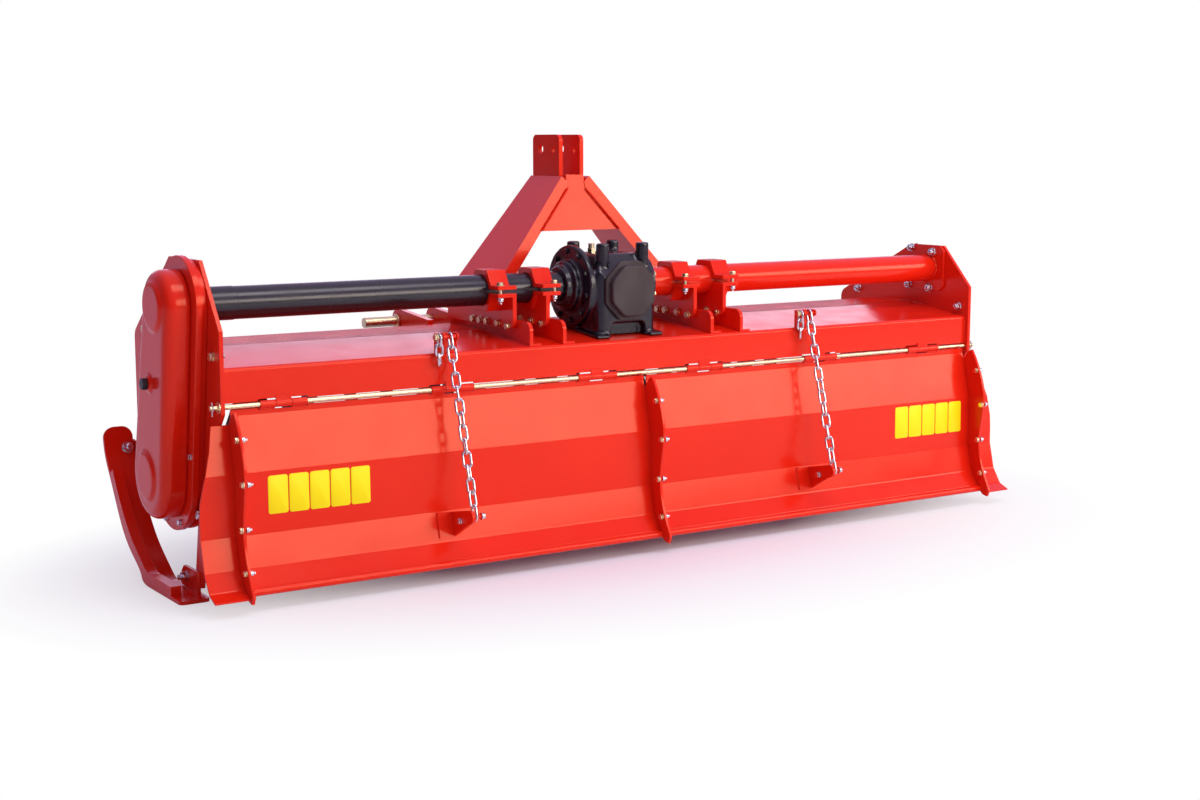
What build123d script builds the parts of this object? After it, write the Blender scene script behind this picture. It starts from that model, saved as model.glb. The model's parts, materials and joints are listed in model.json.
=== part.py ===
from build123d import *
from math import acos, atan2, cos, hypot, radians, sin
import os

# Rotary tiller for a tractor's three-point hitch. Millimetres.
# X runs along the machine, +X to the right seen from behind. Y 0 is the middle of its depth and +Y
# is forward, towards the tractor. Z 0 is the floor under the skid soles.
# X 0 is the hitch and gearbox centre. The hood and the rear board sit a little to the right of it.
# Depths and heights in the side view are given from the axis of the board's hinge rod.

# Main places
hood_mid_x = 15
half_width = 1150
board_mid_x = 21
rod_y = -251
rod_z = 460
tube_depth = 156
tube_height = 221
rotor_depth = 236
rotor_height = -183

# Plate stock
sheet = 5
board_sheet = 4
plate = 10

# Hood
band_bottom = 7.5
band_top = 87
slope_end = 225
deck_rise = 113
deck_front = 420
skirt_bottom = 34
fold_r = 9
beam_size = 60
beam_height = 60
beam_wall = 6

# Side plates
plate_rear = -13
plate_corner = 173
right_plate_top = 288
left_plate_top = 326
plate_top_rear = 98
plate_top_front = 236
plate_front = 552
plate_front_top = 126
plate_front_low = -215
plate_low_depth = 225
plate_low = -318
plate_low_round = 60
plate_front_round = 30
left_plate_top_front = 290
plate_rear_low_depth = 63
plate_rear_low = -271
plate_notch_depth = 16
plate_notch = -50
rod_eye_low = -16

# Axle tubes
tube_r = 39
tube_wall = 7
collar_len = 90
collar_step = 1
end_plate_half = 68
end_plate_t = 8
end_plate_cut = 16

# Gearbox
box_left = -98
box_right = 84
box_rear = 36
box_front = 236
box_top = 306
box_shoulder = 250
box_slope = 40
box_side_slope = 24
box_arch_half = 54
box_arch_top = 130
box_arch_deep = 24
box_arch_r = 16
box_corner_r = 26
box_top_r = 12
box_mid_x = -6
side_flange_r = 106
side_flange_t = 16
side_step_r = 66
side_step_len = 20
neck_r = 52
neck_len = 18
right_flange_r = 82
right_flange_t = 24
input_height = 212
cover_r = 66
cover_t = 16
cover_neck_r = 76
cover_neck_t = 10
cover_neck_round = 16
cover_round = 30
cover_edge_r = 5
post_r = 17
post_low = 252
post_top = 334
post_x = 62
post_rear = 66
post_front = 206
foot_w = 40
foot_h = 9
foot_spread = 12
cap_r = 60
cap_len = 34
shaft_fit = 0.3
input_r = 17.46
input_root_r = 14.8
spline_w = 8.7
spline_count = 6
input_out = 88
breather_x = -54
breather_depth = 140
breather_r = 11
breather_cap_r = 8
breather_h = 12

# Gear case on the left
case_step_t = 14
case_flange_t = 16
case_cover_depth = 60
case_top_r = 84
case_low_r = 104
case_rim = 31
case_round = 25
case_step = 8
dome_r = 60
dome_rise = 7
dome_taper = 35
plug_boss_r = 19
plug_boss_len = 7
plug_r = 15
plug_len = 13
plug_depth = 196
plug_height = 40

# Tube clamps and deck rails
strap_x = (-351, -220, 220, 351)
strap_w = 54
strap_fit = 0.3
strap_ear = 88
strap_ear_t = 10
strap_flat = 30
strap_shoulder = 50
strap_crown = 52
strap_gap = 5
clamp_plate_x = (-330, -232, 232, 330)
clamp_plate_t = 12
clamp_plate_front = 410
clamp_plate_low = 128
clamp_plate_front_top = 188
rail_t = 10
rail_rear = 6
rail_top = 148
rail_foot = 34
rail_foot_t = 6
rail_corner_r = 24

# Mast
ear_inside = 54
ear_t = 12
ear_low = 470
ear_corner_r = 16
upper_hole_depth = 416
upper_hole_height = 574
upper_hole_r = 12.75
small_hole_r = 8
small_hole_depth = upper_hole_depth - 64
small_hole_height = upper_hole_height - 4
ear_rear = small_hole_depth - 30
ear_front = upper_hole_depth + 41
ear_top = upper_hole_height + 39
strut_top_x = 44
strut_top_height = 502
strut_foot_x = 318
strut_foot_height = 176
strut_t = 12
strut_top_rear = 300
strut_top_front = 460
strut_foot_rear = 236
strut_foot_front = 470
tab_low = 152
tab_high = 200
strut_flange_w = 32
strut_flange_t = 10
gusset_t = 8
gusset_low = 358
gusset_set_in = 1
gusset_neck = 471
gusset_high = 506
gusset_neck_half = 28

# Lower hitch
link_pin_r = 14
link_collar_r = 20
link_collar_t = 8
link_ear_t = 18
link_pin_depth = 606
link_pin_height = 106
link_ear_r = 34
base_plate_t = 10
base_plate_in = 248
base_plate_out = 440
link_ear_x = (base_plate_out - 63, base_plate_in + 24)
link_pin_in = base_plate_in + 8
link_pin_out = base_plate_out + 49

# Hinge rod and knuckles
rod_r = 6
rod_over = 22
rod_fit = 0.3
knuckle_r = 9
knuckle_fit = 0.3
knuckle_len = 38
knuckle_gap = 1
knuckle_leaf_top = 19
knuckle_leaf_t = 3
knuckle_notch = 12
knuckle_notch_end = 3
hinge_x = (-989, -549, -129, 211, 611, 996)

# Rear board
board_profile = [(0, -7.5), (0, -21), (-14, -84), (-30, -150), (-32, -292), (-50, -366), (-78, -408)]
rib_outer = [(-36, -8), (-70, -70), (-90, -150), (-79, -235), (-76, -290), (-95, -362), (-122, -416)]
rib_tip = (-114, -434)
rib_half_span = 1142.5
rib_t = 8
bead_r = 9
board_bend_r = 14
rib_toe = (-96, -430)
rib_head = [(1, -46), (-20, -16)]
bead_centre = (-83, -414)
wing_w = 84
wing_edge = [(42, -40), (52, -96), (69, -154), (82, -210), (84, -244)]
lip = (-110, -421)

# Chains
chain_x = 560
hook_point = (-12, 128)
eye_point = (-128, -295)
links_in_half = 7
link_wire = 6.6
link_inner_w = 12
link_edge = 1.9
link_gap = 0.4
chain_pin_r = 5
chain_pin_half = 16
hook_w = 60
hook_t = 6
hook_depth = 8
hook_top = 136
cheek_t = 5
cheek_low = 108
cheek_r = 9
bracket_t = 8
bracket_base_w = 38
bracket_base_t = 5
bracket_end_r = 17
bracket_shares = (0.06, 0.86)

# Skids, each a bar bent up at its front with a square bar along its outer side
skid_in = 7
skid_w = 74
skid_t = 9
sole = -460
skid_rear_depth = 66
skid_tip = (586, -116)
skid_line = [(570, -183), (541, -228), (485, -310), (410, -388), (330, -439), (272, sole)]
skid_tip_lean = 0.2
skid_tip_r = 28
skid_heel_r = 12
rib_bar_w = 26
rib_bar_h = 23
rib_bar_sunk = 3
rib_bar_lean = 0.58
rib_bar_rear_depth = 126
lug_w = 45
lug_root = 480
lug_face = [(560, -196), (578, -150)]
lug_deep = 12
lug_drop = 2
lug_web_t = 6
heel_lug = [(120, -455), (120, -400), (208, -400), (225, -417), (225, -448)]
heel_lug_t = 8
skid_strap_t = 10
strap_low = -440
strap_high = -235
strap_head_depth = 95
strap_foot_depth = 137
strap_width = 42

# Rotor
tip_r = 245
rotor_tube_r = 38
rotor_end_gap = 46
disc_r = 88
disc_t = 10
disc_count = 11
disc_end_inset = 78
tine_t = 8
tine_leaf = 48
tine_shank = [(58, -20), (120, -11), (190, -3), (238, 3), (238, 20), (190, 14), (120, 11), (58, 20)]
tine_tip = [(233, 0), (tip_r, 0), (tip_r, 8), (236, 20), (225, 20), (232, 10)]
tines_a_side = 3
tine_stagger = 47
journal_r = 25
journal_hole_r = 31
bearing_r = 62
bearing_len = 42
bearing_flange_r = 82
bearing_flange_t = 10
left_hub_len = 34
bearing_wall = 6

left_in = hood_mid_x - half_width
right_in = hood_mid_x + half_width
left_out = left_in - plate
right_out = right_in + plate
tube_y = rod_y + tube_depth
tube_z = rod_z + tube_height
rotor_y = rod_y + rotor_depth
rotor_z = rod_z + rotor_height


def at(depth, height):
    """A point of the side view, given from the hinge rod, in the part's own Y and Z."""
    return (rod_y + depth, rod_z + height)


def side_plane(x):
    """Plane of the side view at x: its own x is +Y and its own y is +Z, and it faces +X."""
    return Plane(origin=(x, 0, 0), x_dir=(0, 1, 0), z_dir=(1, 0, 0))


def back_plane(y):
    """Plane seen from behind at y: its own x is +X and its own y is +Z, and it faces -Y."""
    return Plane(origin=(0, y, 0), x_dir=(1, 0, 0), z_dir=(0, -1, 0))


def right_side(points, distance):
    """The same open line moved to its right by a distance, with mitred corners."""
    normals = []
    for a, b in zip(points, points[1:]):
        length = hypot(b[0] - a[0], b[1] - a[1])
        normals.append(((b[1] - a[1]) / length, (a[0] - b[0]) / length))
    moved = []
    for point, n, m in zip(points, normals[:1] + normals, normals + normals[-1:]):
        share = distance / (1 + n[0] * m[0] + n[1] * m[1])
        moved.append((point[0] + share * (n[0] + m[0]), point[1] + share * (n[1] + m[1])))
    return moved


def folded_sheet(sketch, line, thickness, bend_r):
    """Adds a folded sheet to the right of a line, or to its left if the thickness is negative."""
    other = right_side(line, thickness)
    Polygon(*line, *other[::-1], align=None)
    for corner in line[1:-1] + other[1:-1]:
        fillet(sketch.vertices().sort_by_distance(corner)[0], bend_r)


def tapered_pill(high, high_r, low, low_r):
    """Adds two discs and the two tangents between them to the sketch in hand."""
    run = (low[0] - high[0], low[1] - high[1])
    heading = atan2(run[1], run[0])
    tilt = acos((high_r - low_r) / hypot(*run))
    corners = []
    for centre, radius, turn in (
        (high, high_r, tilt),
        (low, low_r, tilt),
        (low, low_r, -tilt),
        (high, high_r, -tilt),
    ):
        corners.append(
            (centre[0] + radius * cos(heading + turn), centre[1] + radius * sin(heading + turn))
        )
    with Locations(high):
        Circle(high_r)
    with Locations(low):
        Circle(low_r)
    Polygon(*corners, align=None)


def save(piece, name):
    piece.part.label = name
    export_step(piece.part, f"parts/{name}.step")


os.makedirs("parts", exist_ok=True)

def hinge_notch(x):
    """Cuts the room for one group of knuckles out of a sheet's edge by the hinge rod."""
    half = 1.5 * knuckle_len + knuckle_gap + knuckle_notch_end
    with BuildSketch(side_plane(x - half)) as notch:
        with Locations((rod_y, rod_z)):
            Rectangle(2 * knuckle_notch, 2 * knuckle_notch)
    extrude(notch.sketch, amount=2 * half, mode=Mode.SUBTRACT)


# Hood: one folded sheet from the rear band over the deck to the front skirt
hood_line = [
    at(0, band_bottom),
    at(0, band_top),
    at(slope_end, deck_rise),
    at(deck_front, deck_rise),
    at(deck_front, skirt_bottom),
]
with BuildPart() as hood:
    with BuildSketch(side_plane(left_in)) as hood_face:
        folded_sheet(hood_face, hood_line, sheet, fold_r)
    extrude(amount=2 * half_width)
    for x in hinge_x:
        hinge_notch(x)
save(hood, "hood")

# Square tube across the front, under the hitch ears
beam_middle = at(deck_front + beam_size / 2, beam_height)
with BuildPart() as front_beam:
    with BuildSketch(side_plane(left_in)):
        with Locations(beam_middle):
            RectangleRounded(beam_size, beam_size, beam_wall)
            Rectangle(beam_size - 2 * beam_wall, beam_size - 2 * beam_wall, mode=Mode.SUBTRACT)
    extrude(amount=2 * half_width)
save(front_beam, "front_beam")


def side_plate(x, top, top_front, name):
    """One side plate from x to the right, with holes for the hinge rod and the rotor's journal."""
    outline = [
        at(plate_rear, rod_eye_low),
        at(plate_rear, plate_corner),
        at(plate_top_rear, top),
        at(top_front, top),
        at(plate_front, plate_front_top),
        at(plate_front, plate_front_low),
        at(plate_low_depth, plate_low),
        at(plate_rear_low_depth, plate_rear_low),
        at(plate_notch_depth, plate_notch),
    ]
    with BuildPart() as piece:
        with BuildSketch(side_plane(x)) as face:
            Polygon(*outline, align=None)
            fillet(face.vertices().sort_by_distance(outline[6])[0], plate_low_round)
            for corner in outline[4:6]:
                fillet(face.vertices().sort_by_distance(corner)[0], plate_front_round)
            with Locations((rotor_y, rotor_z)):
                Circle(journal_hole_r, mode=Mode.SUBTRACT)
            with Locations((rod_y, rod_z)):
                Circle(rod_r + rod_fit, mode=Mode.SUBTRACT)
        extrude(amount=plate)
    save(piece, name)


side_plate(left_out, left_plate_top, left_plate_top_front, "side_plate_left")
side_plate(right_in, right_plate_top, plate_top_front, "side_plate_right")

# Axle tubes and their fixings
tube_left_end = box_left - side_flange_t - side_step_len - neck_len
tube_right_end = box_right + right_flange_t
collar_end = left_in + collar_len


def axle_tube(x_from, x_to, outer_r, name):
    with BuildPart() as piece:
        with BuildSketch(side_plane(x_from)):
            with Locations((tube_y, tube_z)):
                Circle(outer_r)
                Circle(outer_r - tube_wall, mode=Mode.SUBTRACT)
        extrude(amount=x_to - x_from)
    save(piece, name)


axle_tube(collar_end, tube_left_end, tube_r, "axle_tube_left")
axle_tube(left_in, collar_end, tube_r + collar_step, "axle_tube_collar")
axle_tube(tube_right_end, right_in - end_plate_t, tube_r, "axle_tube_right")

with BuildPart() as end_plate:
    with BuildSketch(side_plane(right_in - end_plate_t)) as face:
        with Locations((tube_y, tube_z)):
            Rectangle(2 * end_plate_half, 2 * end_plate_half)
        chamfer(face.vertices(), end_plate_cut)
    extrude(amount=end_plate_t)
save(end_plate, "tube_end_plate")


def deck_height(depth):
    """Height of the deck's upper face above the hinge rod at a depth."""
    return band_top + (deck_rise - band_top) * min(depth, slope_end) / slope_end


# Gearbox body with its posts and feet
box_side = [
    at(box_rear, deck_height(box_rear)),
    at(box_rear, box_shoulder),
    at(box_rear + box_slope, box_top),
    at(box_front - box_slope, box_top),
    at(box_front, box_shoulder),
    at(box_front, deck_rise),
    at(slope_end, deck_rise),
]
foot_side = [
    at(box_rear - foot_spread, deck_height(box_rear - foot_spread)),
    at(box_rear - foot_spread, deck_height(box_rear) + foot_h),
    at(box_front + foot_spread, deck_height(box_front) + foot_h),
    at(box_front + foot_spread, deck_rise),
    at(slope_end, deck_rise),
]
with BuildPart() as gearbox:
    with BuildSketch(side_plane(box_left)):
        Polygon(*box_side, align=None)
    extrude(amount=box_right - box_left)
    fillet(gearbox.edges().filter_by(Axis.Z), box_corner_r)
    with BuildSketch(back_plane(rod_y + box_rear)):
        Polygon(
            (box_left, rod_z),
            (box_left, rod_z + box_shoulder),
            (box_left + box_side_slope, rod_z + box_top),
            (box_right - box_side_slope, rod_z + box_top),
            (box_right, rod_z + box_shoulder),
            (box_right, rod_z),
            align=None,
        )
    extrude(amount=box_rear - box_front, mode=Mode.INTERSECT)
    fillet(gearbox.faces().sort_by(Axis.Z)[-1].edges(), box_top_r)
    with BuildSketch(back_plane(rod_y + box_rear)) as arch:
        with Locations((box_mid_x, rod_z)):
            Rectangle(2 * box_arch_half, 2 * box_arch_top)
        fillet(arch.vertices(), box_arch_r)
    extrude(amount=-box_arch_deep, mode=Mode.SUBTRACT)
    for x in (box_left - foot_spread, box_right + foot_spread - foot_w):
        with BuildSketch(side_plane(x)):
            Polygon(*foot_side, align=None)
        extrude(amount=foot_w)
    post_plane = Plane.XY.offset(rod_z + post_low)
    with BuildSketch(post_plane):
        for x in (-post_x, post_x):
            for depth in (post_rear, post_front):
                with Locations((x + box_mid_x, rod_y + depth)):
                    Circle(post_r)
    extrude(amount=post_top - post_low)
save(gearbox, "gearbox")

with BuildPart() as side_flange:
    flange_steps = (
        (box_left - side_flange_t, side_flange_t, side_flange_r),
        (box_left - side_flange_t - side_step_len, side_step_len, side_step_r),
        (tube_left_end, neck_len, neck_r),
    )
    for x, length, radius in flange_steps:
        with BuildSketch(side_plane(x)):
            with Locations((tube_y, tube_z)):
                Circle(radius)
        extrude(amount=length)
save(side_flange, "gearbox_left_flange")

with BuildPart() as right_flange:
    with BuildSketch(side_plane(box_right)):
        with Locations((tube_y, tube_z)):
            Circle(right_flange_r)
    extrude(amount=right_flange_t)
save(right_flange, "gearbox_right_flange")

input_z = rod_z + input_height
with BuildPart() as rear_cover:
    with BuildSketch(back_plane(rod_y + box_rear)) as neck_face:
        with Locations((box_mid_x, input_z)):
            RegularPolygon(cover_neck_r, 8, major_radius=False, rotation=22.5)
        fillet(neck_face.vertices(), cover_neck_round)
    extrude(amount=cover_neck_t)
    with BuildSketch(back_plane(rod_y + box_rear - cover_neck_t)) as cover_face:
        with Locations((box_mid_x, input_z)):
            RegularPolygon(cover_r, 8, major_radius=False, rotation=22.5)
        fillet(cover_face.vertices(), cover_round)
    extrude(amount=cover_t)
    fillet(rear_cover.faces().sort_by(Axis.Y)[0].edges(), cover_edge_r)
save(rear_cover, "gearbox_rear_cover")

cap_face_y = rod_y + box_front
with BuildPart() as front_cap:
    with BuildSketch(back_plane(cap_face_y)):
        with Locations((0, input_z)):
            Circle(cap_r)
            Circle(input_r + shaft_fit, mode=Mode.SUBTRACT)
    extrude(amount=-cap_len)
save(front_cap, "gearbox_front_cap")

with BuildPart() as breather:
    with BuildSketch(Plane.XY.offset(rod_z + box_top)):
        with Locations((breather_x, rod_y + breather_depth)):
            RegularPolygon(breather_r, 6)
    extrude(amount=breather_h)
    with BuildSketch(Plane.XY.offset(rod_z + box_top + breather_h)):
        with Locations((breather_x, rod_y + breather_depth)):
            Circle(breather_cap_r)
    extrude(amount=breather_h)
save(breather, "breather")

# Splined input shaft
with BuildPart() as input_shaft:
    with BuildSketch(back_plane(cap_face_y + shaft_fit)):
        with Locations((0, input_z)):
            Circle(input_root_r)
            with PolarLocations(0, spline_count):
                with Locations((input_r / 2, 0)):
                    Rectangle(input_r, spline_w)
            Circle(input_r, mode=Mode.INTERSECT)
    extrude(amount=-(cap_len + input_out))
save(input_shaft, "input_shaft")

# Gear case
case_top = (tube_y, tube_z)
case_low = (rotor_y, rotor_z)
flange_x = left_out - case_step_t
cover_x = flange_x - case_flange_t
face_x = cover_x - case_cover_depth
with BuildPart() as case_flange:
    with BuildSketch(side_plane(left_out)):
        tapered_pill(case_top, case_top_r + case_rim - case_step, case_low, case_low_r + case_rim - case_step)
    extrude(amount=-case_step_t)
    with BuildSketch(side_plane(flange_x)):
        tapered_pill(case_top, case_top_r + case_rim, case_low, case_low_r + case_rim)
    extrude(amount=-case_flange_t)
save(case_flange, "gear_case_flange")

with BuildPart() as case_cover:
    with BuildSketch(side_plane(cover_x)):
        tapered_pill(case_top, case_top_r, case_low, case_low_r)
    extrude(amount=-case_cover_depth)
    fillet(case_cover.faces().sort_by(Axis.X)[0].edges(), case_round)
    with BuildSketch(side_plane(face_x)):
        with Locations(case_top, case_low):
            Circle(dome_r)
    extrude(amount=-dome_rise, taper=dome_taper)
    with BuildSketch(side_plane(face_x)):
        with Locations(at(plug_depth, plug_height)):
            Circle(plug_boss_r)
    extrude(amount=-plug_boss_len)
save(case_cover, "gear_case_cover")

with BuildPart() as oil_plug:
    with BuildSketch(side_plane(face_x - plug_boss_len)):
        with Locations(at(plug_depth, plug_height)):
            RegularPolygon(plug_r, 6)
    extrude(amount=-plug_len)
save(oil_plug, "oil_plug")

# Tube clamps: upper straps
strap_outline = [
    (-strap_ear, strap_gap),
    (-strap_ear, strap_gap + strap_ear_t),
    (-strap_shoulder, strap_gap + strap_ear_t),
    (-strap_flat, strap_crown),
    (strap_flat, strap_crown),
    (strap_shoulder, strap_gap + strap_ear_t),
    (strap_ear, strap_gap + strap_ear_t),
    (strap_ear, strap_gap),
]


def about_tube(points, flip=1):
    return [(tube_y + y, tube_z + flip * z) for y, z in points]


with BuildPart() as straps:
    for x in strap_x:
        with BuildSketch(side_plane(x - strap_w / 2)):
            Polygon(*about_tube(strap_outline), align=None)
            with Locations((tube_y, tube_z)):
                Circle(tube_r + strap_fit, mode=Mode.SUBTRACT)
        extrude(amount=strap_w)
save(straps, "clamp_straps")

# Tube clamps: saddles on upright plates that run forward to the mast
clamp_outline = [
    at(tube_depth - strap_ear, clamp_plate_low),
    at(tube_depth - strap_ear, tube_height - strap_gap - strap_ear_t),
    at(tube_depth + strap_ear, tube_height - strap_gap - strap_ear_t),
    at(clamp_plate_front, clamp_plate_front_top),
    at(clamp_plate_front, clamp_plate_low),
]
with BuildPart() as clamps:
    for x, plate_x in zip(strap_x, clamp_plate_x):
        with BuildSketch(side_plane(plate_x - clamp_plate_t / 2)) as face:
            Polygon(*clamp_outline, align=None)
            fillet(face.vertices().sort_by_distance(clamp_outline[0])[0], clamp_plate_t)
            with Locations((tube_y, tube_z)):
                Circle(tube_r + strap_fit, mode=Mode.SUBTRACT)
        extrude(amount=clamp_plate_t)
        with BuildSketch(side_plane(x - strap_w / 2)):
            Polygon(*about_tube(strap_outline, -1), align=None)
            with Locations((tube_y, tube_z)):
                Circle(tube_r + strap_fit, mode=Mode.SUBTRACT)
        extrude(amount=strap_w)
save(clamps, "clamp_plates")

# Deck rails that the clamp plates bolt to
rail_outline = [
    at(rail_rear, deck_height(rail_rear)),
    at(rail_rear, rail_top),
    at(deck_front, rail_top),
    at(deck_front, deck_rise),
    at(slope_end, deck_rise),
]
rail_base = [
    at(rail_rear, deck_height(rail_rear)),
    at(slope_end, deck_rise),
    at(deck_front, deck_rise),
]
with BuildPart() as rails:
    for plate_x in clamp_plate_x:
        leg_x = plate_x + clamp_plate_t / 2
        with BuildSketch(side_plane(leg_x)) as face:
            Polygon(*rail_outline, align=None)
            fillet(face.vertices().sort_by_distance(rail_outline[1])[0], rail_corner_r)
        extrude(amount=rail_t)
        with BuildSketch(side_plane(leg_x)) as face:
            folded_sheet(face, rail_base, -rail_foot_t, rail_foot_t)
        extrude(amount=rail_foot)
save(rails, "deck_rails")

# Mast: ears, struts and gusset
with BuildPart() as ears:
    ear_outline = [
        at(ear_rear, ear_low),
        at(ear_rear, ear_top),
        at(ear_front, ear_top),
        at(ear_front, ear_low),
    ]
    for x in (-ear_inside / 2 - ear_t, ear_inside / 2):
        with BuildSketch(side_plane(x)) as face:
            Polygon(*ear_outline, align=None)
            for corner in ear_outline[1:3]:
                fillet(face.vertices().sort_by_distance(corner)[0], ear_corner_r)
            with Locations(at(upper_hole_depth, upper_hole_height)):
                Circle(upper_hole_r, mode=Mode.SUBTRACT)
            with Locations(at(small_hole_depth, small_hole_height)):
                Circle(small_hole_r, mode=Mode.SUBTRACT)
        extrude(amount=ear_t)
    with BuildSketch(side_plane(-ear_inside / 2)):
        Polygon(
            at(ear_rear, ear_low),
            at(ear_rear, ear_low + ear_t),
            at(ear_front, ear_low + ear_t),
            at(ear_front, ear_low),
            align=None,
        )
    extrude(amount=ear_inside)
save(ears, "mast_ears")

strut_run = strut_foot_x - strut_top_x
strut_drop = strut_top_height - strut_foot_height
strut_len = hypot(strut_run, strut_drop)
strut_plane = Plane(
    origin=(strut_top_x, rod_y, rod_z + strut_top_height),
    x_dir=(strut_run, 0, -strut_drop),
    z_dir=(strut_drop, 0, strut_run),
)
tab_in = clamp_plate_x[3] - clamp_plate_t / 2 - strut_t


def strut(side, name):
    with BuildPart() as piece:
        with BuildSketch(strut_plane):
            Polygon(
                (0, strut_top_rear),
                (0, strut_top_front),
                (strut_len, strut_foot_front),
                (strut_len, strut_foot_rear),
                align=None,
            )
        extrude(amount=-strut_t)
        with BuildSketch(strut_plane):
            Polygon(
                (0, strut_top_rear),
                (0, strut_top_rear + strut_flange_t),
                (strut_len, strut_foot_rear + strut_flange_t),
                (strut_len, strut_foot_rear),
                align=None,
            )
        extrude(amount=-strut_flange_w)
        foot_plane = side_plane(tab_in)
        with BuildSketch(foot_plane):
            Polygon(
                at(strut_foot_rear, tab_low),
                at(strut_foot_rear, tab_high),
                at(strut_foot_front, tab_high),
                at(strut_foot_front, tab_low),
                align=None,
            )
        extrude(amount=strut_t)
        with Locations((tab_in + strut_t, rod_y, rod_z)):
            Box(
                2 * strut_t,
                4 * strut_foot_front,
                2 * strut_top_height,
                align=(Align.MIN, Align.CENTER, Align.CENTER),
                mode=Mode.SUBTRACT,
            )
        with Locations((0, rod_y + ear_rear - ear_t, rod_z + ear_low)):
            Box(
                ear_inside + 2 * ear_t,
                strut_foot_front,
                ear_top,
                align=(Align.CENTER, Align.MIN, Align.MIN),
                mode=Mode.SUBTRACT,
            )
        with Locations((0, rod_y, rod_z + gusset_neck)):
            Box(
                2 * gusset_neck_half,
                4 * strut_foot_front,
                strut_top_height,
                align=(Align.CENTER, Align.CENTER, Align.MIN),
                mode=Mode.SUBTRACT,
            )
        if side < 0:
            mirror(about=Plane.YZ, mode=Mode.REPLACE)
    save(piece, name)


strut(-1, "mast_strut_left")
strut(1, "mast_strut_right")

lean = (strut_top_rear - strut_foot_rear) / strut_drop
flange_rise = strut_flange_w * strut_run / strut_len


def gusset_rear(height):
    """Depth of the gusset's rear face, just inside the rear face of the struts' flanges."""
    return strut_top_rear + gusset_set_in - (strut_top_height - flange_rise - height) * lean


def flange_inner_x(height):
    """Distance from the middle to the inner edge of a strut's flange."""
    below = strut_top_height - height
    return strut_top_x + (below * strut_run - strut_flange_w * strut_len) / strut_drop


with BuildPart() as gusset:
    with BuildSketch(side_plane(-flange_inner_x(gusset_low))):
        Polygon(
            at(gusset_rear(gusset_low), gusset_low),
            at(gusset_rear(gusset_high), gusset_high),
            at(gusset_rear(gusset_high) + gusset_t, gusset_high),
            at(gusset_rear(gusset_low) + gusset_t, gusset_low),
            align=None,
        )
    extrude(amount=2 * flange_inner_x(gusset_low))
    with BuildSketch(back_plane(rod_y)):
        Polygon(
            (-flange_inner_x(gusset_low), rod_z + gusset_low),
            (-flange_inner_x(gusset_neck), rod_z + gusset_neck),
            (-gusset_neck_half, rod_z + gusset_neck),
            (-gusset_neck_half, rod_z + gusset_high),
            (gusset_neck_half, rod_z + gusset_high),
            (gusset_neck_half, rod_z + gusset_neck),
            (flange_inner_x(gusset_neck), rod_z + gusset_neck),
            (flange_inner_x(gusset_low), rod_z + gusset_low),
            align=None,
        )
    extrude(amount=-ear_front, mode=Mode.INTERSECT)
save(gusset, "mast_gusset")

# Lower hitch: base plates, ears and link pins
with BuildPart() as hitch:
    for side in (-1, 1):
        middle = side * (base_plate_in + base_plate_out) / 2
        with Locations((middle, *at(deck_front + beam_size / 2, beam_height + beam_size / 2))):
            Box(
                base_plate_out - base_plate_in,
                beam_size,
                base_plate_t,
                align=(Align.CENTER, Align.CENTER, Align.MIN),
            )
        ear_back = at(deck_front + base_plate_t, beam_height + beam_size / 2 + base_plate_t)
        for ear_x in link_ear_x:
            with BuildSketch(side_plane(side * ear_x - link_ear_t / 2)):
                Polygon(
                    ear_back,
                    at(deck_front + base_plate_t, link_pin_height + link_ear_r / 2),
                    at(link_pin_depth, link_pin_height + link_ear_r),
                    at(link_pin_depth, link_pin_height - link_ear_r),
                    at(deck_front + beam_size, beam_height - beam_size / 2),
                    at(deck_front + beam_size, beam_height + beam_size / 2 + base_plate_t),
                    align=None,
                )
                with Locations(at(link_pin_depth, link_pin_height)):
                    Circle(link_ear_r)
                    Circle(link_pin_r + shaft_fit, mode=Mode.SUBTRACT)
            extrude(amount=link_ear_t)
save(hitch, "hitch_ears")


def link_pin(side, name):
    with BuildPart() as piece:
        with BuildSketch(side_plane(side * link_pin_in)):
            with Locations(at(link_pin_depth, link_pin_height)):
                Circle(link_pin_r)
        extrude(amount=side * (link_pin_out - link_pin_in))
        collar_x = side * (link_ear_x[0] + link_ear_t / 2)
        with BuildSketch(side_plane(collar_x)):
            with Locations(at(link_pin_depth, link_pin_height)):
                Circle(link_collar_r)
        extrude(amount=side * link_collar_t)
    save(piece, name)


link_pin(-1, "link_pin_left")
link_pin(1, "link_pin_right")

# Hinge rod and the knuckles on the rear band
with BuildPart() as hinge_rod:
    with BuildSketch(side_plane(left_out - rod_over)):
        with Locations((rod_y, rod_z)):
            Circle(rod_r)
    extrude(amount=right_out - left_out + 2 * rod_over)
save(hinge_rod, "hinge_rod")


def knuckle(x, low_depth, low, high_depth, high):
    """One knuckle from x to the right, with a leaf between two corners of the side view."""
    with BuildSketch(side_plane(x)) as face:
        with Locations((rod_y, rod_z)):
            Circle(knuckle_r)
        Polygon(
            at(low_depth, low),
            at(low_depth, high),
            at(high_depth, high),
            at(high_depth, low),
            align=None,
        )
        with Locations((rod_y, rod_z)):
            Circle(rod_r + knuckle_fit, mode=Mode.SUBTRACT)
    extrude(face.sketch, amount=knuckle_len)


with BuildPart() as band_knuckles:
    for x in hinge_x:
        knuckle(x - knuckle_len / 2, -knuckle_leaf_t, 0, 0, knuckle_leaf_top)
save(band_knuckles, "band_knuckles")

with BuildPart() as board_knuckles:
    for x in hinge_x:
        for side in (-1, 1):
            middle = x + side * (knuckle_len + knuckle_gap)
            knuckle(middle - knuckle_len / 2, 0, -knuckle_notch, board_sheet, 0)
save(board_knuckles, "board_knuckles")

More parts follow.
